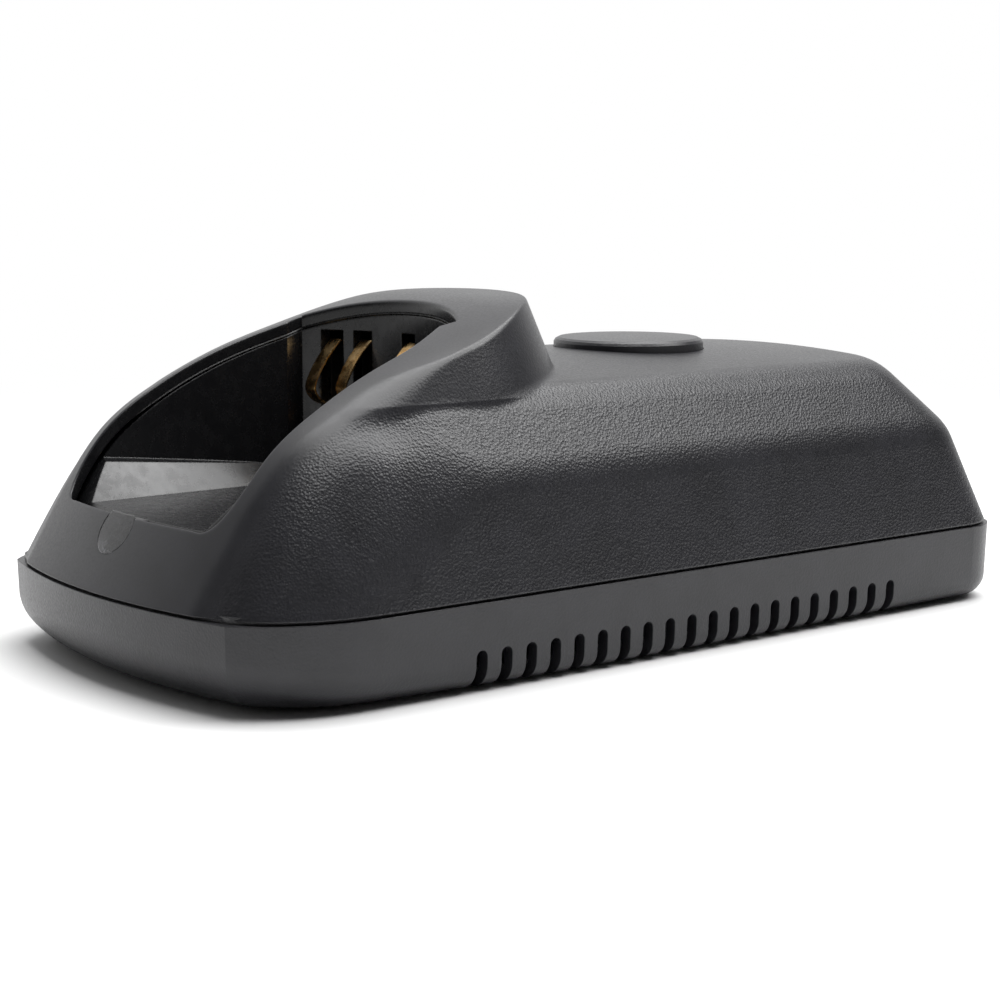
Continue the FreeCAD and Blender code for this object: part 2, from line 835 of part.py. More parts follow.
def make_light_guide(outer):
    lens = lens_plug(LENS_RADIUS, 3.4).common(outer)
    lens = lens.cut(pocket_prism(0.05, size("pocket_floor"), 60))
    half_width = 3.0
    guide = polygon([Vector(-half_width, back(distance), height) for distance, height in LIGHT_PIPE])
    guide = guide.extrude(Vector(2 * half_width, 0, 0))
    guide = guide.common(CAVITY.fuse(lens_plug(LENS_RADIUS, 8)))
    guide = lens.fuse(guide).removeSplitter().cut(pocket_liner.Shape)
    return place(largest(guide), "light_guide")


light_guide = make_light_guide(OUTER)


# ------------------------------------------------------------------ electronics
# Transformer: a three-legged core round a bobbin whose winding stands above the board.
TRANSFORMER_X = "4 mm"
TRANSFORMER_Y = front + " + 134"
core_legs = []
for index, offset in enumerate((-15, -4, 9.5)):
    width = 8 if offset == -4 else 5.5
    core_legs.append(box("core_leg_%d" % index, "%g mm" % width, "8 mm", "26 mm",
                         TRANSFORMER_X + " + %g mm" % offset, TRANSFORMER_Y + " - 4", board_top + " + 4"))
core_top = box("core_top", "30 mm", "8 mm", "6 mm",
               TRANSFORMER_X + " - 15 mm", TRANSFORMER_Y + " - 4", board_top + " + 24")
core_foot = box("core_foot", "30 mm", "8 mm", "6 mm",
                TRANSFORMER_X + " - 15 mm", TRANSFORMER_Y + " - 4", board_top + " + 2")
transformer_core = boolean("MultiFuse", "transformer_core", *core_legs, core_top, core_foot)

bobbin_tube = cylinder("bobbin_tube", "6.2 mm", "15.8 mm",
                       TRANSFORMER_X, TRANSFORMER_Y, board_top + " + 8.1")
bobbin_foot = box("bobbin_foot", "18.4 mm", "26 mm", "1.2 mm",
                  TRANSFORMER_X + " - 9.2 mm", TRANSFORMER_Y + " - 13", board_top + " + 8.1")
bobbin_head = box("bobbin_head", "18.4 mm", "22 mm", "1.2 mm",
                  TRANSFORMER_X + " - 9.2 mm", TRANSFORMER_Y + " - 11", board_top + " + 22.7")
bobbin_pads = []
for index, offset in enumerate((-13, 9)):
    bobbin_pads.append(box("bobbin_pad_%d" % index, "18.4 mm", "4 mm", "8.2 mm",
                           TRANSFORMER_X + " - 9.2 mm", TRANSFORMER_Y + " + %g" % offset, board_top))
leg_hole = box("leg_hole", "8.2 mm", "8.2 mm", "40 mm",
               TRANSFORMER_X + " - 4.1 mm", TRANSFORMER_Y + " - 4.1", board_top)
bobbin_solid = boolean("MultiFuse", "bobbin_solid", bobbin_tube, bobbin_foot, bobbin_head, *bobbin_pads)
transformer_bobbin = boolean("Cut", "transformer_bobbin", bobbin_solid, leg_hole)

winding_outer = cylinder("winding_outer", "9.1 mm", "13.2 mm",
                         TRANSFORMER_X, TRANSFORMER_Y, board_top + " + 9.4")
winding_inner = cylinder("winding_inner", "6.3 mm", "13.2 mm",
                         TRANSFORMER_X, TRANSFORMER_Y, board_top + " + 9.4")
transformer_winding = boolean("Cut", "transformer_winding", winding_outer, winding_inner)

# Heat sink: a plate with upright fins; the power transistor lies against it.
sink_plate = box("sink_plate", "2.4 mm", "34 mm", "26 mm", "27 mm", front + " + 118", board_top)
sink_fins = []
for index in range(7):
    sink_fins.append(box("sink_fin_%d" % index, "5 mm", "1.4 mm", "26 mm",
                         "29.2 mm", front + " + %g" % (118 + index * 5.43), board_top))
heat_sink = boolean("MultiFuse", "heat_sink", sink_plate, *sink_fins)

transistor_case = box("transistor_case", "4.4 mm", "10 mm", "9 mm",
                      "22.5 mm", front + " + 139.5", board_top + " + 5")
transistor_tab = box("transistor_tab", "1.2 mm", "10 mm", "15.4 mm",
                     "25.7 mm", front + " + 139.5", board_top + " + 5")
transistor_legs = []
for index in range(3):
    transistor_legs.append(box("transistor_leg_%d" % index, "0.6 mm", "0.9 mm", "5.4 mm",
                               "24 mm", front + " + %g" % (141.5 + index * 2.54), board_top))
power_transistor = boolean("MultiFuse", "power_transistor", transistor_case, transistor_tab, *transistor_legs)

# Line choke: a ring core on its side, held by its own coil.
choke_ring = DOC.addObject("Part::Torus", "choke_ring")
choke_ring.Placement = FreeCAD.Placement(Vector(), FreeCAD.Rotation(Vector(1, 0, 0), 90))
bind(choke_ring, Radius1="6.4 mm", Radius2="3.1 mm", Placement__Base__x="8 mm",
     Placement__Base__y=front + " + 166", Placement__Base__z=board_top + " + 10")
choke_base = box("choke_base", "14 mm", "9 mm", "1.6 mm", "1 mm", front + " + 161.5", board_top)
line_choke = boolean("MultiFuse", "line_choke", choke_ring, choke_base)

# Output capacitors: three small cans in a row behind the pocket.
cans = []
for index in range(3):
    cans.append(cylinder("can_%d" % index, "4 mm", "14 mm",
                         "-24 mm", front + " + %g" % (104 + index * 10.5), board_top))
output_capacitors = boolean("MultiFuse", "output_capacitors", *cans)

# Line fuse: a glass barrel between two end caps in clips.
fuse_barrel = cylinder("fuse_barrel", "2.2 mm", "16 mm",
                       "25 mm", front + " + 158", board_top + " + 3.4", -90)
fuse_ends = []
for index, distance in enumerate((156, 171)):
    fuse_ends.append(cylinder("fuse_cap_%d" % index, "2.6 mm", "5 mm",
                              "25 mm", front + " + %g" % distance, board_top + " + 3.4", -90))
    fuse_ends.append(box("fuse_clip_%d" % index, "5.2 mm", "3 mm", "3.4 mm",
                         "22.4 mm", front + " + %g" % (distance + 1), board_top))
line_fuse = boolean("MultiFuse", "line_fuse", fuse_barrel, *fuse_ends)

# Charge controller: a flat chip with a row of legs on each side.
chip_case = box("chip_case", "7.6 mm", "12.8 mm", "2.2 mm",
                "6 mm", front + " + 60", board_top + " + 0.2")
chip_legs = []
for index in range(10):
    chip_legs.append(box("chip_leg_%d" % index, "10.4 mm", "0.5 mm", "0.3 mm", "4.6 mm",
                         front + " + %g" % (60.43 + index * 1.27), board_top))
chip_pins = boolean("MultiFuse", "chip_pins", *chip_legs)
chip_neck = box("chip_neck", "6 mm", "12 mm", "0.4 mm", "6.8 mm", front + " + 60.4", board_top)
charge_controller = boolean("MultiFuse", "charge_controller", chip_case, chip_pins, chip_neck)

# Contact board: upright behind the contact block.
contact_board = box("contact_circuit_board", "27 mm", "1.6 mm", "20 mm",
                    "-27.4 mm", front + " + 83.7", "39 mm")


# ------------------------------------------------------------------ power inlet
inlet_left = "-Sizes.inlet_width / 2"
inlet_low = "Sizes.inlet_middle - Sizes.inlet_tall / 2"
inlet_face = "Sizes.half_length - 2.2"
inlet_case = box("inlet_case", "Sizes.inlet_width", "Sizes.inlet_deep", "Sizes.inlet_tall",
                 inlet_left, inlet_face + " - Sizes.inlet_deep", inlet_low)
sockets = []
for index, offset in enumerate((-4.3, 4.3)):
    sockets.append(cylinder("socket_%d" % index, "3.4 mm", "12.2 mm", "%g mm" % offset,
                            inlet_face + " + 0.1", "Sizes.inlet_middle", 90))
socket_web = box("socket_web", "8.6 mm", "12.2 mm", "5.4 mm", "-4.3 mm", inlet_face + " - 12.1",
                 "Sizes.inlet_middle - 2.7")
power_inlet = boolean("Cut", "power_inlet", inlet_case, *sockets, socket_web)

pins = []
for index, offset in enumerate((-4.3, 4.3)):
    pins.append(cylinder("pin_%d" % index, "1.18 mm", "10 mm", "%g mm" % offset,
                         inlet_face + " - 2.1", "Sizes.inlet_middle", 90))
inlet_pins = boolean("MultiFuse", "inlet_pins", *pins)


# ------------------------------------------------------------------ wires
def wire_run(points, radius):
    """A round wire along a smooth path through a few points."""
    path = Part.BSplineCurve()
    path.interpolate(points)
    spine = Part.Wire(path.toShape())
    start = path.tangent(path.FirstParameter)[0]
    ring = Part.Wire(Part.Circle(points[0], start, radius).toShape())
    return spine.makePipeShell([ring], True, False)


inlet_back = -FRONT - 2.2 - size("inlet_deep")
board_face = size("board_height") + size("board_thickness")
inlet_wires = place(Part.makeCompound([
    wire_run([Vector(side * 4.3, inlet_back - 0.9, size("inlet_middle") + 2.4),
              Vector(side * 5.2, inlet_back - 3.4, size("inlet_middle") + 4.6),
              Vector(side * 6.0, inlet_back - 7.0, size("inlet_middle") + 3.6),
              Vector(side * 6.2, inlet_back - 8.2, board_face + 0.3)], 0.8)
    for side in (-1, 1)]), "inlet_wires")

contact_wires = place(Part.makeCompound([
    wire_run([Vector(x, back(85.9), 43.0),
              Vector(x + 0.6, back(89.0), 38.0),
              Vector(x + 1.2, back(90.5), 26.0),
              Vector(x + 1.4, back(90.0), board_face + 0.1)], 0.7)
    for x in (-20.0, -14.0, -8.0)]), "contact_wires")


# ------------------------------------------------------------------ screws, feet, rating plate
def screw(x, y, head_low, head_radius, head_high, shank, length, upward):
    """A pan-head screw with a slotted head; its shank runs up or down from the head."""
    direction = 1 if upward else -1
    head = Part.makeCylinder(head_radius, head_high, Vector(x, y, head_low), Vector(0, 0, direction))
    body = Part.makeCylinder(shank, length, Vector(x, y, head_low), Vector(0, 0, direction))
    slot_low = head_low if upward else head_low - 0.8
    cross = []
    for wide, deep in ((3.2, 0.7), (0.7, 3.2)):
        cross.append(Part.makeBox(wide, deep, 0.8, Vector(x - wide / 2, y - deep / 2, slot_low)))
    result = head.fuse(body)
    for slot in cross:
        result = result.cut(slot)
    return result


housing_screws = place(Part.makeCompound([
    screw(x, y, size("base_bottom") + 1.6, size("screw_head_radius"), 2.4, size("screw_radius") - 0.27,
          size("screw_length"), True)
    for x, y in boss_places()]), "housing_screws")

board_screws = place(Part.makeCompound([
    screw(x, y, board_face + 1.6, 2.4, 1.6, 0.93, 6.6, False)
    for x, y in board_post_places()]), "board_screws")

rubber_feet = place(Part.makeCompound([
    upright(size("foot_diameter") / 2, x, y, 0, foot_seat())
    for x, y in foot_places()]), "rubber_feet")

plate_x, plate_y, plate_deep = RATING_PLATE
rating_plate = box("rating_plate", "%g mm" % plate_x, "%g mm" % plate_y, "%g mm" % (plate_deep - 0.1),
                   "%g mm" % (-plate_x / 2), "%g mm" % (-plate_y / 2), "Sizes.base_bottom + 0.1")

# ------------------------------------------------------------------ check and export
NODES = [
    upper_housing, base_tub, pocket_liner, contact_block, *contact_springs, light_guide, status_lamp,
    badge_disc, main_circuit_board, contact_board, contact_wires, transformer_core, transformer_bobbin,
    transformer_winding, bulk_capacitor, output_capacitors, line_choke, heat_sink, power_transistor,
    line_fuse, charge_controller, power_inlet, inlet_pins, inlet_wires, housing_screws, board_screws,
    rubber_feet, rating_plate,
]

DOC.recompute()
for item in DOC.Objects:
    if "Invalid" in item.State or "Error" in item.State:
        raise RuntimeError("%s did not recompute: %s" % (item.Label, item.State))

os.makedirs("parts", exist_ok=True)
for node in NODES:
    if node.Shape.isNull() or not node.Shape.isValid():
        raise RuntimeError("%s has no valid shape" % node.Label)
    node.Shape.exportStep(os.path.join("parts", node.Label + ".step"))
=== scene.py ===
import json
import math

import bmesh
import bpy
import numpy as np
from mathutils import Matrix, Vector


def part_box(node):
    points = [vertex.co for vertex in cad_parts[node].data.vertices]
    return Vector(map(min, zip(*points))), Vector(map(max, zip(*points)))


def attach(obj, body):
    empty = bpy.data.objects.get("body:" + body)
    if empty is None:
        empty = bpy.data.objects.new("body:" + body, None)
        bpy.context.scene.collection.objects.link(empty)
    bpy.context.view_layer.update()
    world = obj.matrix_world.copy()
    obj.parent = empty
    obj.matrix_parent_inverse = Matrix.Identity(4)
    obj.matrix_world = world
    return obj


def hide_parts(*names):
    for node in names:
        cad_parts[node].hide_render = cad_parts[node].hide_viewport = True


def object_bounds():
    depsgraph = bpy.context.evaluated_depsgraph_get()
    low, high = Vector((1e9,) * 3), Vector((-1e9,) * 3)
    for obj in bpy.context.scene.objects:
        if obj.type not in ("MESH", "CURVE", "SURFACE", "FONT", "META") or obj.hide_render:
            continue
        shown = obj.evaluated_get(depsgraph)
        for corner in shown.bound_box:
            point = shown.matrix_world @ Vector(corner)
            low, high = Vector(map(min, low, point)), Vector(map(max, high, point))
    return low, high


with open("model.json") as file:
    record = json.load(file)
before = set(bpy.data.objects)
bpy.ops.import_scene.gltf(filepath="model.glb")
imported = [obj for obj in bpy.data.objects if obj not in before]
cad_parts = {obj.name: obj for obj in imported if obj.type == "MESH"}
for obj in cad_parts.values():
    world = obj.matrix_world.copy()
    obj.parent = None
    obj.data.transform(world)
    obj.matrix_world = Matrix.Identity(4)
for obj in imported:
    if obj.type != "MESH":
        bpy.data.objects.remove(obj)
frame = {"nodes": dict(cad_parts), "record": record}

MM = 0.001
cad_low, cad_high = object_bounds()
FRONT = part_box("base_tub")[0].y / MM


def point(x, d, z):
    """A place given in millimetres, with d measured back from the front of the seam, in metres."""
    return Vector((x, FRONT + d, z)) * MM


# ------------------------------------------------------------------ smooth joins between surfaces
def smooth_max(a, b, reach):
    """The larger of two distances, with a soft edge where they cross."""
    near = np.maximum(reach - np.abs(a - b), 0) / reach
    return np.maximum(a, b) + near * near * reach / 4


def smooth_min(a, b, reach):
    """The smaller of two distances, with a soft fillet where they cross."""
    return -smooth_max(-a, -b, reach)


def round_max(a, b, radius):
    """The larger of two distances, with a true round corner of that radius."""
    outside = np.hypot(np.maximum(a + radius, 0), np.maximum(b + radius, 0))
    return outside + np.minimum(np.maximum(a, b) + radius, 0) - radius


def ease(value, start, end):
    """0 before start, 1 after end, smooth between them."""
    t = np.clip((value - start) / (end - start), 0, 1)
    return t * t * (3 - 2 * t)


# ------------------------------------------------------------------ outer shape of the upper housing
SEAM_HEIGHT = 17.75
BOW_RADIUS = 148.0
CORNER_RADIUS = 33.0
REAR_BOW = 3.0
# Height, half width, distance of the front corner's centre, rear edge, rear corner radius.
SEAM = (17.5, 52.75, 31.0, 208.0, 13.0)
SHOULDER = (39.6, 48.3, 38.3, 198.3, 12.2)
DECK = (54.3, 38.35, 46.0, 185.0, 11.4)
# The deck is crowned across; behind DECK_FALL_START the crown flattens towards the rear.
DECK_CROWN = 3.2
DECK_FALL = 0.45
DECK_FALL_START = 120
DECK_FALL_REACH = 60
# Cosines of the draft of the three walls, which turn a horizontal distance into a true one.
LOWER_WALL_COSINE = 0.98
UPPER_WALL_COSINE = 0.83
RING_WALL_COSINE = 0.927
# Side profile of the rim on the middle plane: distance and height. It is lifted beside the pocket and
# droops outwards, where RIM_DROP is reached at RIM_DROP_REACH from the middle.
RIM_PROFILE = np.array([
    (-12.0, -3.0), (0.0, 17.5), (5.0, 26.0), (10.1, 34.2), (16.6, 42.5), (27.5, 51.1),
    (44.0, 59.0), (62.0, 64.6), (80.0, 69.2), (96.0, 71.2), (112.0, 71.4),
])
RIM_LIFT = 0.8
RIM_DROP = 2.36
RIM_DROP_REACH = 38.0
# Ring round the pocket: a drafted half circle behind RING_BACK, running out to nearly straight sides.
RING_RADIUS = 39.4
RING_BACK = 64.0
RING_NARROWING = 0.05
RING_DRAFT = 0.404
RING_FOOT = 52.9
SHELL = 2.5
# Reach of the soft joins between neighbouring surfaces.
DECK_JOIN = 3.5
RING_JOIN = 1.0
RIM_EDGE = 0.8
SEAM_EDGE = 0.4


def cubic_through(points):
    """A smooth curve through the points, as a function of the first coordinate (natural cubic spline)."""
    knots, values = points[:, 0], points[:, 1]
    steps = np.diff(knots)
    slopes = np.diff(values) / steps
    count = len(knots)
    system = np.eye(count)
    right = np.zeros(count)
    for i in range(1, count - 1):
        system[i, i - 1:i + 2] = steps[i - 1], 2 * (steps[i - 1] + steps[i]), steps[i]
        right[i] = 6 * (slopes[i] - slopes[i - 1])
    bend = np.linalg.solve(system, right)

    def curve(at):
        at = np.clip(at, knots[0], knots[-1])
        i = np.clip(np.searchsorted(knots, at) - 1, 0, count - 2)
        before, after, step = at - knots[i], knots[i + 1] - at, steps[i]
        cubic = (bend[i] * after ** 3 + bend[i + 1] * before ** 3) / (6 * step)
        first = (values[i] / step - bend[i] * step / 6) * after
        second = (values[i + 1] / step - bend[i + 1] * step / 6) * before
        return cubic + first + second

    return curve


rim_profile = cubic_through(RIM_PROFILE)


def front_bow(x):
    """How far the bowed front falls back from its middle."""
    widest = 60
    return BOW_RADIUS - np.sqrt(BOW_RADIUS ** 2 - np.minimum(x * x, widest ** 2))


def wall_gap(x, d, z, low, high):
    """Horizontal distance outside the drafted wall that runs between two levels."""
    share = (z - low[0]) / (high[0] - low[0])
    half_width, corner_back, rear, rear_radius = (a + share * (b - a) for a, b in zip(low[1:], high[1:]))
    beside = np.maximum(np.abs(x) - half_width + CORNER_RADIUS, 0)
    side = np.hypot(beside, np.minimum(d - corner_back, 0)) - CORNER_RADIUS
    behind = d - rear + REAR_BOW * (x / half_width) ** 2
    return round_max(side, behind, rear_radius)


def deck_height(x, d):
    """Height of the crowned deck."""
    swell = 1 - DECK_FALL * np.maximum(0, (d - DECK_FALL_START) / DECK_FALL_REACH) ** 2
    return DECK[0] + DECK_CROWN * swell * (1 - (x / DECK[1]) ** 2)


def block_gap(x, d, z):
    """Distance outside the housing without its ring: two drafted walls under a crowned deck.

    The shoulder between the walls is soft at the front and a crisp crease behind the pocket.
    """
    lower = LOWER_WALL_COSINE * wall_gap(x, d, z, SEAM, SHOULDER)
    upper = UPPER_WALL_COSINE * wall_gap(x, d, z, SHOULDER, DECK)
    shoulder_reach = 12.0 - 10.5 * ease(d, 24, 62)
    walls = smooth_max(lower, upper, shoulder_reach)
    return smooth_max(walls, z - deck_height(x, d), DECK_JOIN)


def ring_gap(x, d, z):
    """Distance outside the drafted ring round the pocket."""
    shrink = RING_DRAFT * (np.maximum(z, RING_FOOT) - DECK[0])
    ahead = np.maximum(RING_BACK - d, 0)
    side = np.hypot(x, np.maximum(d - RING_BACK, 0)) - RING_RADIUS + RING_NARROWING * ahead
    return RING_WALL_COSINE * (side + shrink)


def rim_gap(x, d, z):
    """Distance above the rim, whose side profile is carried along the front bow."""
    along = d - front_bow(x)
    lift = RIM_LIFT * ease(along, 6, 20) * (1 - ease(along, 78, 96))
    droop = RIM_DROP * np.clip(along / 30, 0, 1) * (x / RIM_DROP_REACH) ** 4
    height = rim_profile(along) + lift - droop
    slope = rim_profile(along + 0.5) - rim_profile(along - 0.5)
    return (z - height) / np.sqrt(1 + slope ** 2)


# Hollow in each side: where its middle lies, how far it reaches each way, and how deep it is.
SCOOP = (40.2, 40.5, 50.5)
SCOOP_REACH = (8, 8, 5)
SCOOP_DEPTH = 1.5


def scoop(x, d, z):
    """The hollow in the side where the ring's foot runs out into the rim."""
    across = (np.abs(x) - SCOOP[0]) / SCOOP_REACH[0]
    along = (d - SCOOP[1]) / SCOOP_REACH[1]
    up = (z - SCOOP[2]) / SCOOP_REACH[2]
    return SCOOP_DEPTH * np.exp(-across ** 2 - along ** 2 - up ** 2)


def body_gap(x, d, z):
    """Distance outside block and ring together, under the rim; the rim's edge sharpens backwards."""
    block = block_gap(x, d, z) + scoop(x, d, z)
    ring = ring_gap(x, d, z)
    body = smooth_min(block, ring, RING_JOIN)
    rim_reach = 4.5 - 3.8 * ease(d, 40, 60)
    return smooth_max(body, rim_gap(x, d, z), rim_reach)


# Pocket in plan. Each side runs smoothly back to the tip of the tooth that keys the radio, then steps
# out to the foot of the bowed rear wall.
AXIS_BACK = 45.0
POCKET_FRONT = 8.6
POCKET_BACK = 76.9
POCKET_BACK_RADIUS = 42.3
POCKET_CORNER = 7.0
POCKET_CORNER_MIDDLE = (28.3, 12.7)
RIGHT_SIDE = [(18.9, 30.2), (33.0, 29.4), (47.0, 28.1), (57.6, 26.0), (66.3, 21.9)]
LEFT_SIDE = [(18.9, 30.2), (34.0, 29.5), (48.0, 28.4), (55.5, 27.3), (62.0, 25.9)]
RIGHT_STEP = (23.0, 70.1)
LEFT_STEP = (27.5, 66.7)


def bent_line(first, middle, last, count=24):
    """Points along a smooth bend that passes through three points."""
    share = np.linspace(0, 1, count)[:, None]
    control = 2 * np.array(middle) - 0.5 * (np.array(first) + np.array(last))
    return (1 - share) ** 2 * first + 2 * share * (1 - share) * control + share ** 2 * np.array(last)


def pocket_side(side, step):
    """Half of the pocket outline, from the middle of the front to the middle of the rear wall."""
    start_back, half_width = side[0]
    across = np.linspace(0, half_width - POCKET_CORNER, 30)
    front = np.stack([across, POCKET_FRONT + front_bow(across)], axis=1)
    corner = bent_line(front[-1], POCKET_CORNER_MIDDLE, (half_width, start_back))
    along = np.linspace(start_back, side[-1][0], 60)
    flank = np.stack([cubic_through(np.array(side))(along), along], axis=1)
    rear = np.linspace(step[0], 0, 40)
    rear_back = POCKET_BACK - POCKET_BACK_RADIUS + np.sqrt(POCKET_BACK_RADIUS ** 2 - rear ** 2)
    wall = np.stack([rear, rear_back], axis=1)
    return np.concatenate([front, corner, flank, [step], wall])


pocket_outline = np.concatenate([pocket_side(LEFT_SIDE, LEFT_STEP)[::-1] * (-1, 1),
                                 pocket_side(RIGHT_SIDE, RIGHT_STEP)])
outline_turn = np.arctan2(pocket_outline[:, 0], AXIS_BACK - pocket_outline[:, 1])
outline_reach = np.hypot(pocket_outline[:, 0], pocket_outline[:, 1] - AXIS_BACK)
outline_order = np.argsort(outline_turn)


def pocket_gap(x, d):
    """Distance outside the pocket's plan outline, measured from the pocket's middle."""
    turn = np.arctan2(x, AXIS_BACK - d)
    reach = np.interp(turn, outline_turn[outline_order], outline_reach[outline_order], period=2 * math.pi)
    return np.hypot(x, d - AXIS_BACK) - reach


def outer_gap(x, d, z):
    """Distance outside the housing's outer skin, its rim edge and its seam edge."""
    edge = smooth_max(body_gap(x, d, z), -pocket_gap(x, d), RIM_EDGE)
    return smooth_max(edge, SEAM_HEIGHT - z, SEAM_EDGE)


def inner_gap(x, d, z):
    """Distance outside the housing's inner skin."""
    return np.maximum(body_gap(x, d, z) + SHELL, SEAM_HEIGHT - z)


# ------------------------------------------------------------------ mesh of the upper housing
COLUMNS = 760
OUTER_ROWS = 260
INNER_ROWS = 40
# Rays leave from inside the wall: this far outside the pocket and this far above the seam.
START_IN = 1.2
START_UP = 2.5
FARTHEST = 260.0
# Both skins run over the rim and this far down into the pocket.
DEPTH_IN_POCKET = 3.2
# A bend of one radian draws rows together as much as this length would.
BEND_WEIGHT = 4.0


def first_crossing(gap, inside, outside):
    """Bisection between a distance inside and one outside a surface."""
    low = np.broadcast_to(inside, np.broadcast(inside, outside).shape).astype(float).copy()
    high = np.broadcast_to(outside, low.shape).astype(float).copy()
    for _ in range(30):
        middle = (low + high) / 2
        out = gap(middle) > 0
        high = np.where(out, middle, high)
        low = np.where(out, low, middle)
    return (low + high) / 2


def column_fan():
    """Directions of the section planes, evenly spread along the pocket's and the seam's outlines.

    With them come the distances from the pocket's middle out to both outlines.
    """
    turn = np.linspace(0, 2 * math.pi, 4001)
    aim = np.stack([np.sin(turn), -np.cos(turn)])

    def reach(gap, far):
        return first_crossing(lambda t: gap(aim[0] * t, AXIS_BACK + aim[1] * t), 1.0, far)

    def outlines():
        pocket = reach(pocket_gap, 60.0)
        seam = reach(lambda x, d: outer_gap(x, d, SEAM_HEIGHT + 2), FARTHEST)
        return pocket, seam

    length = np.zeros(len(turn))
    for distance in outlines():
        outline = aim * distance
        length[1:] += np.hypot(*np.diff(outline))
    travel = np.cumsum(length)
    wanted = np.linspace(0, travel[-1], COLUMNS + 1)[:-1]
    turn = np.interp(wanted, travel, turn)
    aim = np.stack([np.sin(turn), -np.cos(turn)])
    return aim, *outlines()


def cast(gap, aim, start, angle):
    """Points where rays in the section planes, leaving the inside of the wall, meet a surface."""
    level = SEAM_HEIGHT + START_UP

    def place(t):
        run = start + t * np.cos(angle)
        return aim[0] * run, AXIS_BACK + aim[1] * run, level + t * np.sin(angle)

    t = first_crossing(lambda t: gap(*place(t)), np.zeros_like(angle), 250.0)
    return np.stack(place(t), axis=-1)


def even_rows(gap, aim, start, lowest, highest, rows):
    """Rows of points over a skin, spread by length and drawn together where it bends."""
    share = np.linspace(0, 1, 2 * rows)[:, None]
    angle = lowest + (highest - lowest) * share
    points = cast(gap, aim, start, angle)
    step = np.diff(points, axis=0)
    length = np.linalg.norm(step, axis=-1)
    heading = step / np.maximum(length, 1e-9)[..., None]
    bend = np.arccos(np.clip((heading[1:] * heading[:-1]).sum(-1), -1, 1))
    length[1:] += BEND_WEIGHT * bend
    travel = np.concatenate([np.zeros((1, length.shape[1])), np.cumsum(length, axis=0)])
    travel /= travel[-1]
    for _ in range(12):
        travel = (np.roll(travel, 1, 1) + 2 * travel + np.roll(travel, -1, 1)) / 4
    wanted = np.linspace(0, 1, rows)
    spread = np.stack([np.interp(wanted, travel[:, i], angle[:, i]) for i in range(travel.shape[1])], axis=1)
    return cast(gap, aim, start, spread)


def grid_faces(first, rows, columns, flip):
    """Quads of a closed band of rows; row by row, wrapping round the columns."""
    faces = []
    for row in range(rows - 1):
        for column in range(columns):
            following = (column + 1) % columns
            a = first + row * columns + column
            b = first + row * columns + following
            quad = (a, b, b + columns, a + columns)
            faces.append(quad[::-1] if flip else quad)
    return faces


def join_rings(first, second, columns, flip):
    """A band of quads between two rings of points."""
    faces = []
    for column in range(columns):
        following = (column + 1) % columns
        quad = (first + column, first + following, second + following, second + column)
        faces.append(quad[::-1] if flip else quad)
    return faces


def mesh_object(name, points, faces):
    """A smooth-shaded object of points in metres and faces."""
    mesh = bpy.data.meshes.new(name)
    mesh.from_pydata([tuple(p) for p in points], [], faces)
    mesh.validate()
    item = bpy.data.objects.new(name, mesh)
    bpy.context.scene.collection.objects.link(item)
    mesh.shade_smooth()
    return item


def surface_grain(points):
    """How coarse the moulded texture is: full on the walls and deck, finer on ring and rim."""
    x, d, z = points.T
    block = block_gap(x, d, z)
    ring = ring_gap(x, d, z)
    rim = rim_gap(x, d, z)
    on_block = ease(ring - block, -0.5, 1.5)
    off_rim = ease(-rim, 0.15, 1.2)
    return off_rim * (0.35 + 0.65 * on_block)


def build_housing():
    """The upper housing's outer and inner skins, joined at the seam and inside the pocket."""
    aim, pocket, seam = column_fan()
    start = pocket + START_IN
    rim_top = first_crossing(lambda z: rim_gap(aim[0] * pocket, AXIS_BACK + aim[1] * pocket, z), 0.0, 100.0)
    level = SEAM_HEIGHT + START_UP

    def pocket_angle(below):
        return math.pi / 2 + np.arctan2(START_IN, rim_top - below - level)

    def seam_angle(inset):
        return -np.arctan2(START_UP, seam - inset - start)

    last = pocket_angle(DEPTH_IN_POCKET)
    outer = even_rows(outer_gap, aim, start, seam_angle(1.4), last, OUTER_ROWS)
    inner = even_rows(inner_gap, aim, start, seam_angle(SHELL + 0.3), last, INNER_ROWS)
    points = np.concatenate([outer.reshape(-1, 3), inner.reshape(-1, 3)])
    first_inner = OUTER_ROWS * COLUMNS
    faces = grid_faces(0, OUTER_ROWS, COLUMNS, True)
    faces += grid_faces(first_inner, INNER_ROWS, COLUMNS, False)
    faces += join_rings(0, first_inner, COLUMNS, False)
    last_outer = (OUTER_ROWS - 1) * COLUMNS
    last_inner = first_inner + (INNER_ROWS - 1) * COLUMNS
    faces += join_rings(last_outer, last_inner, COLUMNS, True)
    metres = points * MM
    metres[:, 1] += FRONT * MM
    housing = mesh_object("upper_housing_shell", metres, faces)
    grain = housing.data.attributes.new("grain", "FLOAT", "POINT")
    grain.data.foreach_set("value", surface_grain(points).astype(np.float32))
    return housing


# ------------------------------------------------------------------ cutting and trimming
def round_bar(name, centre, axis, radius, length, sides=96):
    """A round bar standing on a centre, used as a cutting tool."""
    work = bmesh.new()
    bmesh.ops.create_cone(work, cap_ends=True, segments=sides, radius1=radius * MM, radius2=radius * MM,
                          depth=length * MM)
    turn = Vector(axis).to_track_quat("Z", "Y").to_matrix().to_4x4()
    bmesh.ops.transform(work, matrix=Matrix.Translation(centre) @ turn, verts=work.verts)
    mesh = bpy.data.meshes.new(name)
    work.to_mesh(mesh)
    work.free()
    item = bpy.data.objects.new(name, mesh)
    bpy.context.scene.collection.objects.link(item)
    return item


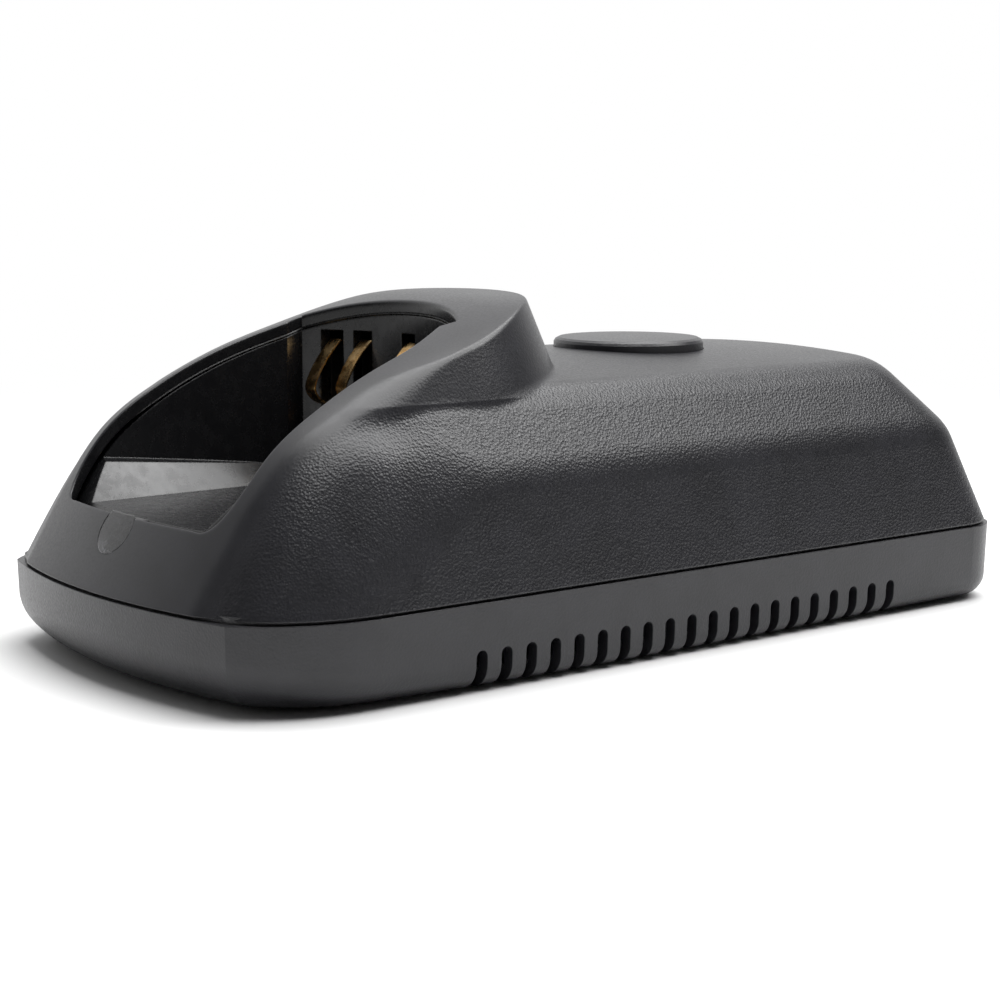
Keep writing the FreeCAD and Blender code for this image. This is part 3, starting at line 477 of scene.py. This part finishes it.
def cut(item, tool):
    """Takes the tool's shape out of the item and removes the tool."""
    modifier = item.modifiers.new("cut", "BOOLEAN")
    modifier.operation = "DIFFERENCE"
    modifier.solver = "EXACT"
    modifier.object = tool
    bpy.context.view_layer.update()
    shown = item.evaluated_get(bpy.context.evaluated_depsgraph_get())
    item.data = bpy.data.meshes.new_from_object(shown)
    item.modifiers.clear()
    bpy.data.objects.remove(tool)


LENS_NORMAL = Vector((0, -0.857, 0.515))
LENS_MIDDLE = point(0, 6.9, 29.1)
LENS_HOLE_RADIUS = 5.5
BADGE_GAP = 0.15

housing = build_housing()
cut(housing, round_bar("lens_hole", LENS_MIDDLE, LENS_NORMAL, LENS_HOLE_RADIUS, 12))
badge_low, badge_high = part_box("badge_disc")
badge_middle = (badge_low + badge_high) / 2
badge_radius = (badge_high.x - badge_low.x) / 2 / MM
badge_height = (badge_high.z - badge_low.z) / MM
cut(housing, round_bar("badge_recess", badge_middle, (0, 0, 1), badge_radius + BADGE_GAP, badge_height, 160))
housing.data.set_sharp_from_angle(angle=math.radians(38))


# ------------------------------------------------------------------ materials
class Finish:
    """A material built node by node on a principled shader."""

    def __init__(self, name):
        self.material = bpy.data.materials.new(name)
        self.material.use_nodes = True
        self.tree = self.material.node_tree
        self.shader = self.tree.nodes["Principled BSDF"]
        self.place = self.add("ShaderNodeTexCoord").outputs["Object"]

    def add(self, kind, **values):
        """A new node, with some of its sockets or properties set."""
        node = self.tree.nodes.new(kind)
        for key, value in values.items():
            if key in node.inputs:
                node.inputs[key].default_value = value
            else:
                setattr(node, key, value)
        return node

    def link(self, source, target):
        self.tree.links.new(source, target)

    def noise(self, size, detail=2.0, roughness=0.5):
        """Soft noise with features of about that size, in millimetres."""
        node = self.add("ShaderNodeTexNoise", Detail=detail, Roughness=roughness)
        node.inputs["Scale"].default_value = 1 / (size * MM)
        self.link(self.place, node.inputs["Vector"])
        return node.outputs["Fac"]

    def cells(self, size, softness=0.35):
        """Pebbled cells of about that size, in millimetres."""
        node = self.add("ShaderNodeTexVoronoi", feature="SMOOTH_F1", Smoothness=softness)
        node.inputs["Scale"].default_value = 1 / (size * MM)
        self.link(self.place, node.inputs["Vector"])
        return node.outputs["Distance"]

    def ramp(self, source, low, high, from_low=0.35, from_high=0.65):
        """The source rescaled to run between two values."""
        node = self.add("ShaderNodeMapRange")
        node.inputs["From Min"].default_value = from_low
        node.inputs["From Max"].default_value = from_high
        node.inputs["To Min"].default_value = low
        node.inputs["To Max"].default_value = high
        self.link(source, node.inputs["Value"])
        return node.outputs["Result"]

    def tint(self, source, first, second):
        """A colour between two, following the source."""
        node = self.add("ShaderNodeMix", data_type="RGBA")
        self.link(source, node.inputs["Factor"])
        node.inputs["A"].default_value = (*first, 1)
        node.inputs["B"].default_value = (*second, 1)
        return node.outputs["Result"]

    def bump(self, height, depth, strength=1.0, under=None):
        """Relief of that depth in millimetres, over another relief if one is given."""
        node = self.add("ShaderNodeBump")
        node.inputs["Distance"].default_value = depth * MM
        self.link(height, node.inputs["Height"])
        if isinstance(strength, (int, float)):
            node.inputs["Strength"].default_value = strength
        else:
            self.link(strength, node.inputs["Strength"])
        if under is not None:
            self.link(under, node.inputs["Normal"])
        return node.outputs["Normal"]

    def soft_edge(self, radius):
        """Shading of a small moulded edge radius, in millimetres."""
        node = self.add("ShaderNodeBevel", samples=6)
        node.inputs["Radius"].default_value = radius * MM
        return node.outputs["Normal"]

    def set(self, **sockets):
        """Sets or links the shader's sockets, and gives the finished material."""
        for key, value in sockets.items():
            name = key.replace("_", " ")
            if hasattr(value, "is_linked"):
                self.link(value, self.shader.inputs[name])
            else:
                self.shader.inputs[name].default_value = value
        return self.material


CHARCOAL = (0.016, 0.016, 0.0185)
CHARCOAL_LIGHT = (0.021, 0.021, 0.0245)


def moulded_plastic(name, grained):
    """Charcoal ABS with a pebbled mould texture; the grain attribute says how coarse it is."""
    finish = Finish(name)
    if grained:
        coarse = finish.add("ShaderNodeAttribute", attribute_name="grain").outputs["Fac"]
    else:
        coarse = finish.add("ShaderNodeValue").outputs[0]
        coarse.default_value = 0.45
    pebble = finish.cells(0.5)
    fine = finish.noise(0.22, detail=3)
    relief = finish.bump(pebble, 0.08, coarse, finish.bump(fine, 0.012, 0.5, finish.soft_edge(0.25)))
    shade = finish.tint(finish.ramp(finish.noise(9, 4), 0, 1), CHARCOAL, CHARCOAL_LIGHT)
    rough = finish.ramp(finish.noise(0.5, 4), 0.30, 0.40)
    return finish.set(Base_Color=shade, Roughness=rough, Normal=relief, IOR=1.5)


def gloss_black(name):
    """Polished black plastic of the pocket, with faint rub marks."""
    finish = Finish(name)
    rub = finish.noise(2.5, 5, 0.6)
    relief = finish.bump(finish.noise(6, 2), 0.05, 0.4, finish.soft_edge(0.4))
    shade = finish.tint(finish.ramp(rub, 0, 1), (0.009, 0.009, 0.010), (0.012, 0.012, 0.013))
    return finish.set(Base_Color=shade, Roughness=finish.ramp(rub, 0.22, 0.3), Normal=relief, IOR=1.5)


def metal(name, first, second, low, high, grain=0.4):
    """Bright metal between two colours, with wear that varies its gloss."""
    finish = Finish(name)
    wear = finish.noise(2.5, 4, 0.5)
    relief = finish.bump(finish.noise(grain, 3), 0.006, 0.5, finish.soft_edge(0.15))
    shade = finish.tint(finish.ramp(wear, 0, 1), first, second)
    return finish.set(Base_Color=shade, Roughness=finish.ramp(wear, low, high), Metallic=1.0, Normal=relief)


def plain(name, first, second, low, high, grain=0.5, depth=0.03):
    """Non-metal with mottled colour, mottled gloss and a fine relief."""
    finish = Finish(name)
    mottle = finish.noise(2.0, 5, 0.6)
    relief = finish.bump(finish.noise(grain, 3), depth, 0.6, finish.soft_edge(0.2))
    shade = finish.tint(finish.ramp(mottle, 0, 1), first, second)
    return finish.set(Base_Color=shade, Roughness=finish.ramp(mottle, low, high), Normal=relief)


def smoked_lens(name):
    """Smoky see-through plastic with a faint haze."""
    finish = Finish(name)
    haze = finish.noise(1.0, 3)
    relief = finish.bump(haze, 0.01, 0.4, finish.soft_edge(0.3))
    shade = finish.tint(finish.ramp(haze, 0, 1), (0.10, 0.10, 0.11), (0.18, 0.18, 0.19))
    return finish.set(Base_Color=shade, Roughness=finish.ramp(haze, 0.04, 0.08), Normal=relief,
                      Transmission_Weight=0.85, IOR=1.49)


def woven_board(name):
    """Green circuit board: solder mask over a fine glass weave."""
    finish = Finish(name)
    weave = finish.add("ShaderNodeTexWave", wave_type="BANDS", bands_direction="DIAGONAL")
    weave.inputs["Scale"].default_value = 1 / (1.2 * MM)
    finish.link(finish.place, weave.inputs["Vector"])
    relief = finish.bump(weave.outputs["Fac"], 0.02, 0.5, finish.soft_edge(0.2))
    shade = finish.tint(finish.ramp(finish.noise(4, 4), 0, 1), (0.010, 0.075, 0.030), (0.016, 0.105, 0.042))
    rough = finish.ramp(weave.outputs["Fac"], 0.3, 0.42, 0, 1)
    return finish.set(Base_Color=shade, Roughness=rough, Normal=relief)


FINISHES = {
    "housing_plastic": moulded_plastic("charcoal_plastic", False),
    "liner_plastic": gloss_black("gloss_black_plastic"),
    "black_plastic": plain("black_nylon", (0.012, 0.012, 0.013), (0.02, 0.02, 0.021), 0.4, 0.55),
    "contact_gold": metal("gold_plate", (0.86, 0.52, 0.20), (0.95, 0.66, 0.32), 0.18, 0.34),
    "contact_brass": metal("brass", (0.72, 0.52, 0.25), (0.80, 0.62, 0.34), 0.22, 0.4),
    "smoked_lens": smoked_lens("smoked_lens"),
    "lamp_epoxy": plain("lamp_epoxy", (0.30, 0.03, 0.02), (0.42, 0.05, 0.03), 0.12, 0.2),
    "badge_plastic": moulded_plastic("badge_plastic", False),
    "circuit_board": woven_board("circuit_board"),
    "wire_insulation": plain("wire_insulation", (0.35, 0.02, 0.015), (0.45, 0.03, 0.02), 0.35, 0.5),
    "ferrite": plain("ferrite", (0.03, 0.028, 0.027), (0.05, 0.047, 0.045), 0.6, 0.75, 0.3, 0.05),
    "winding_tape": plain("winding_tape", (0.62, 0.45, 0.06), (0.7, 0.53, 0.1), 0.25, 0.4),
    "capacitor_sleeve": plain("capacitor_sleeve", (0.02, 0.03, 0.06), (0.03, 0.045, 0.09), 0.2, 0.32),
    "sink_aluminium": metal("sink_aluminium", (0.62, 0.63, 0.64), (0.74, 0.75, 0.76), 0.32, 0.5),
    "steel": metal("plated_steel", (0.55, 0.55, 0.56), (0.68, 0.68, 0.69), 0.2, 0.36),
    "foot_rubber": plain("foot_rubber", (0.015, 0.015, 0.015), (0.024, 0.024, 0.024), 0.7, 0.85, 0.4, 0.05),
    "plate_foil": plain("plate_foil", (0.52, 0.53, 0.54), (0.6, 0.61, 0.62), 0.3, 0.45),
}


def dress(item, slot):
    """Gives a CAD node the finish of its material slot."""
    item.data.materials.clear()
    item.data.materials.append(FINISHES[slot])


for part in frame["record"]["subparts"]:
    dress(frame["nodes"][part["node"]], part["material_slot"])

housing.data.materials.clear()
housing.data.materials.append(moulded_plastic("charcoal_plastic_grained", True))
housing.data.materials.append(FINISHES["liner_plastic"])


def gloss_inside_pocket():
    """The short wall that drops from the rim into the pocket is polished like the liner."""
    within_outline = 0.25
    below_rim = 0.35
    centres = np.zeros(len(housing.data.polygons) * 3)
    housing.data.polygons.foreach_get("center", centres)
    x, y, z = centres.reshape(-1, 3).T / MM
    d = y - FRONT
    inside = (pocket_gap(x, d) < within_outline) & (rim_gap(x, d, z) < -below_rim)
    housing.data.polygons.foreach_set("material_index", inside.astype(np.int32))


gloss_inside_pocket()
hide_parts("upper_housing")
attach(housing, "charger")


# ------------------------------------------------------------------ camera
CAMERA_PLACE = (0.35162, -0.28170, 0.09508)
CAMERA_LENS = 75.47
# Turned to the left of +Y, tilted down, and rolled, in degrees.
CAMERA_ANGLES = (51.78, 8.81, -0.121)


def make_camera():
    """The camera looks down on the front corner from the right-hand side."""
    camera = bpy.data.objects.new("camera", bpy.data.cameras.new("camera"))
    bpy.context.scene.collection.objects.link(camera)
    camera.data.lens = CAMERA_LENS
    camera.data.sensor_width = 36.0
    turn, tilt, roll = (math.radians(angle) for angle in CAMERA_ANGLES)
    ahead = Vector((-math.sin(turn) * math.cos(tilt), math.cos(turn) * math.cos(tilt), -math.sin(tilt)))
    right = Vector((math.cos(turn), math.sin(turn), 0))
    up = right.cross(ahead)
    right, up = (right * math.cos(roll) - up * math.sin(roll), up * math.cos(roll) + right * math.sin(roll))
    basis = Matrix((right, up, -ahead)).transposed().to_4x4()
    camera.matrix_world = Matrix.Translation(CAMERA_PLACE) @ basis
    camera.data.clip_start = 0.01
    camera.data.clip_end = 30
    bpy.context.scene.camera = camera


make_camera()


# ------------------------------------------------------------------ stage and light
def radial_ramp(tree, start, end):
    """Runs from 0 to 1 between two distances from the stage's middle, in metres."""
    place = tree.nodes.new("ShaderNodeTexCoord").outputs["Object"]
    length = tree.nodes.new("ShaderNodeVectorMath")
    length.operation = "LENGTH"
    tree.links.new(place, length.inputs[0])
    ramp = tree.nodes.new("ShaderNodeMapRange")
    ramp.interpolation_type = "SMOOTHSTEP"
    ramp.inputs["From Min"].default_value = start
    ramp.inputs["From Max"].default_value = end
    tree.links.new(length.outputs["Value"], ramp.inputs["Value"])
    return ramp.outputs["Result"]


def make_floor():
    """A pale round table top that brightens into the surround away from the object."""
    work = bmesh.new()
    bmesh.ops.create_circle(work, cap_ends=True, segments=128, radius=3.0)
    mesh = bpy.data.meshes.new("floor")
    work.to_mesh(mesh)
    work.free()
    floor = bpy.data.objects.new("floor", mesh)
    bpy.context.scene.collection.objects.link(floor)
    floor.location.z = cad_low.z
    finish = Finish("pale_floor")
    shade = finish.tint(finish.ramp(finish.noise(60, 3), 0, 1), (0.90, 0.90, 0.90), (0.92, 0.92, 0.92))
    material = finish.set(Base_Color=shade, Roughness=0.9)
    tree = finish.tree
    glow = finish.add("ShaderNodeEmission")
    mix = finish.add("ShaderNodeMixShader")
    finish.link(radial_ramp(tree, 0.16, 0.55), mix.inputs[0])
    finish.link(finish.shader.outputs[0], mix.inputs[1])
    finish.link(glow.outputs[0], mix.inputs[2])
    finish.link(mix.outputs[0], tree.nodes["Material Output"].inputs["Surface"])
    floor.data.materials.append(material)


def soft_light(name, place, aim, size, power):
    """A rectangular lamp aimed at a point."""
    lamp = bpy.data.lights.new(name, "AREA")
    lamp.shape = "RECTANGLE"
    lamp.size, lamp.size_y = size
    lamp.energy = power
    item = bpy.data.objects.new(name, lamp)
    bpy.context.scene.collection.objects.link(item)
    item.location = place
    item.rotation_euler = (Vector(aim) - Vector(place)).to_track_quat("-Z", "Y").to_euler()


def make_surround():
    """A pale surround; the light it gives comes from the backdrop behind the object's left."""
    world = bpy.data.worlds.new("surround")
    bpy.context.scene.world = world
    world.use_nodes = True
    tree = world.node_tree
    tree.nodes.clear()
    direction = tree.nodes.new("ShaderNodeTexCoord").outputs["Generated"]
    dot = tree.nodes.new("ShaderNodeVectorMath")
    dot.operation = "DOT_PRODUCT"
    dot.inputs[1].default_value = Vector((-0.93, 0.30, 0.20)).normalized()
    tree.links.new(direction, dot.inputs[0])
    ramp = tree.nodes.new("ShaderNodeMapRange")
    ramp.interpolation_type = "SMOOTHSTEP"
    ramp.inputs["From Min"].default_value = 0.10
    ramp.inputs["From Max"].default_value = 0.85
    ramp.inputs["To Min"].default_value = 0.05
    ramp.inputs["To Max"].default_value = 1.15
    tree.links.new(dot.outputs["Value"], ramp.inputs["Value"])
    lighting = tree.nodes.new("ShaderNodeBackground")
    tree.links.new(ramp.outputs["Result"], lighting.inputs["Strength"])
    seen = tree.nodes.new("ShaderNodeBackground")
    seen.inputs["Color"].default_value = (1, 1, 1, 1)
    seen.inputs["Strength"].default_value = 1.0
    choose = tree.nodes.new("ShaderNodeMixShader")
    tree.links.new(tree.nodes.new("ShaderNodeLightPath").outputs["Is Camera Ray"], choose.inputs[0])
    tree.links.new(lighting.outputs[0], choose.inputs[1])
    tree.links.new(seen.outputs[0], choose.inputs[2])
    tree.links.new(choose.outputs[0], tree.nodes.new("ShaderNodeOutputWorld").inputs["Surface"])


LIGHT_AIM = (0, 0, 0.03)

make_floor()
make_surround()
soft_light("overhead", (0.02, 0.14, 0.80), LIGHT_AIM, (0.85, 0.85), 11)
soft_light("rear_right", (0.36, 0.49, 0.67), LIGHT_AIM, (0.35, 0.35), 2.2)
bpy.context.scene.view_settings.view_transform = "Standard"
